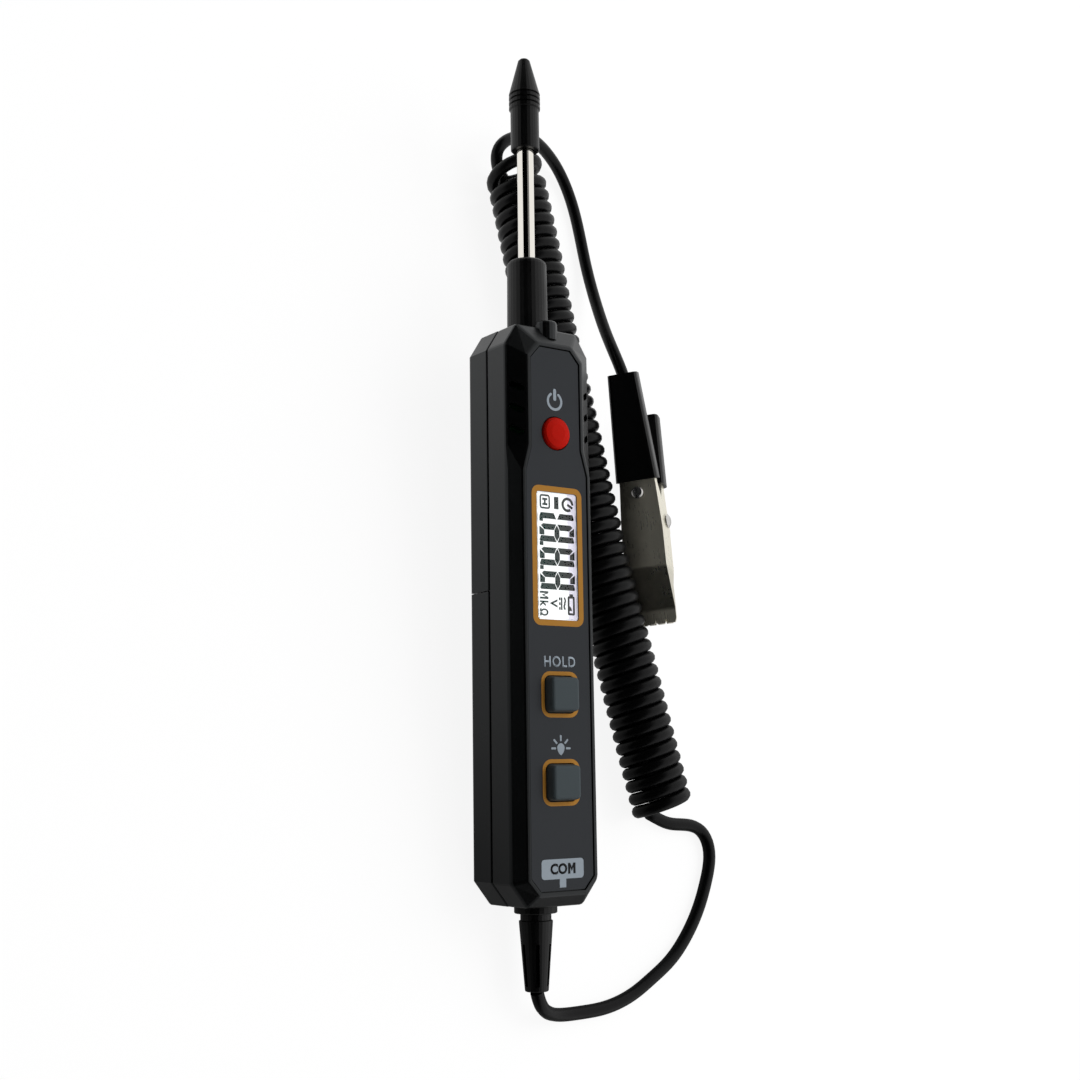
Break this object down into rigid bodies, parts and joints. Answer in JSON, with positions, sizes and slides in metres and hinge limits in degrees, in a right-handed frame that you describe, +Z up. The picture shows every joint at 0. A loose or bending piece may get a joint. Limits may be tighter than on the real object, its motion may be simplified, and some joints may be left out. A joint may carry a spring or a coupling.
{
  "type": "automotive voltage tester",
  "caption": "Pen-shaped voltage tester with a screen, push buttons and a capped probe, on a curly lead that ends in a crocodile clip.",
  "frame": {"origin": "bottom centre of the tester's box, without the lead and its clip, on the table it lies on", "axes": "+Y along the tester towards the probe's tip, +X to the right of its screen, +Z up"},
  "size_m": [0.0874, 0.2724, 0.0366],
  "materials": {
    "housing_plastic": "fine sparked texture, black",
    "label_film": "matt dark grey film",
    "black_rubber": "smooth matt moulding",
    "lead_vinyl": "matt flexible jacket",
    "grip_vinyl": "soft dipped sleeve",
    "red_plastic": "satin, polished rim",
    "grey_rubber": "matt silicone",
    "clear_acrylic": "clear",
    "lcd_glass": "backlit screen",
    "light_guide": "frosted clear",
    "contact_rubber": "matt",
    "board": "green solder mask",
    "black_moulding": "matt",
    "lamp_lens": "clear domed lens",
    "cell_wrap": "printed foil",
    "nickel": "nickel plated",
    "zinc_steel": "zinc plated",
    "bright_steel": "polished nickel plate",
    "satin_nickel": "satin nickel plate"
  },
  "bodies": {
    "tester": {"battery_cover": "housing_plastic", "battery_frame": "black_moulding", "battery_left": "cell_wrap", "battery_right": "cell_wrap", "buzzer": "black_moulding", "case_screw_left": "zinc_steel", "case_screw_right": "zinc_steel", "circuit_board": "board", "clip_front_grip": "grip_vinyl", "clip_front_jaw": "satin_nickel", "clip_rivet": "bright_steel", "clip_spring": "bright_steel", "clip_terminal_screw": "bright_steel", "contact_plate": "nickel", "contact_spring_left": "nickel", "contact_spring_right": "nickel", "contact_strip_left": "contact_rubber", "contact_strip_right": "contact_rubber", "cover_screw_left": "zinc_steel", "cover_screw_right": "zinc_steel", "display_window": "clear_acrylic", "face_label": "label_film", "front_shell": "housing_plastic", "hold_switch": "black_moulding", "lcd_glass": "lcd_glass", "lcd_light_guide": "light_guide", "lead_clip": "lead_vinyl", "lead_coil": "lead_vinyl", "lead_tail": "lead_vinyl", "light_switch": "black_moulding", "power_switch": "black_moulding", "probe_rod": "bright_steel", "probe_sleeve": "black_rubber", "rear_shell": "housing_plastic", "strain_relief": "black_rubber", "torch_lamp": "lamp_lens"},
    "power_key": {"power_button": "red_plastic"},
    "hold_key": {"hold_button": "grey_rubber"},
    "light_key": {"light_button": "grey_rubber"},
    "probe_cap": {"tip_cap": "black_rubber"},
    "clip_lever": {"clip_rear_jaw": "satin_nickel", "clip_rear_grip": "grip_vinyl"}
  },
  "joints": [
    {"name": "power_press", "type": "slide", "parent": "tester", "child": "power_key", "axis": [0, 0.0958, -0.9954], "range_m": [0, 0.0008], "stiffness_N_per_m": 800, "springref_m": -0.0003},
    {"name": "hold_press", "type": "slide", "parent": "tester", "child": "hold_key", "axis": [0, 0.0958, -0.9954], "range_m": [0, 0.0008], "stiffness_N_per_m": 800, "springref_m": -0.0003},
    {"name": "light_press", "type": "slide", "parent": "tester", "child": "light_key", "axis": [0, 0.0958, -0.9954], "range_m": [0, 0.0008], "stiffness_N_per_m": 800, "springref_m": -0.0003},
    {"name": "cap_pull", "type": "slide", "parent": "tester", "child": "probe_cap", "axis": [0, 0.9954, 0.0958], "range_m": [0, 0.028]},
    {"name": "clip_open", "type": "hinge", "parent": "tester", "child": "clip_lever", "pos_m": [0.05, 0.00053, 0.0107], "axis": [0.5823, 0.0031, 0.813], "range_deg": [0, 20], "stiffness_Nm_per_rad": 0.3, "springref_deg": -20.05, "deforming": ["clip_spring"]}
  ]
}
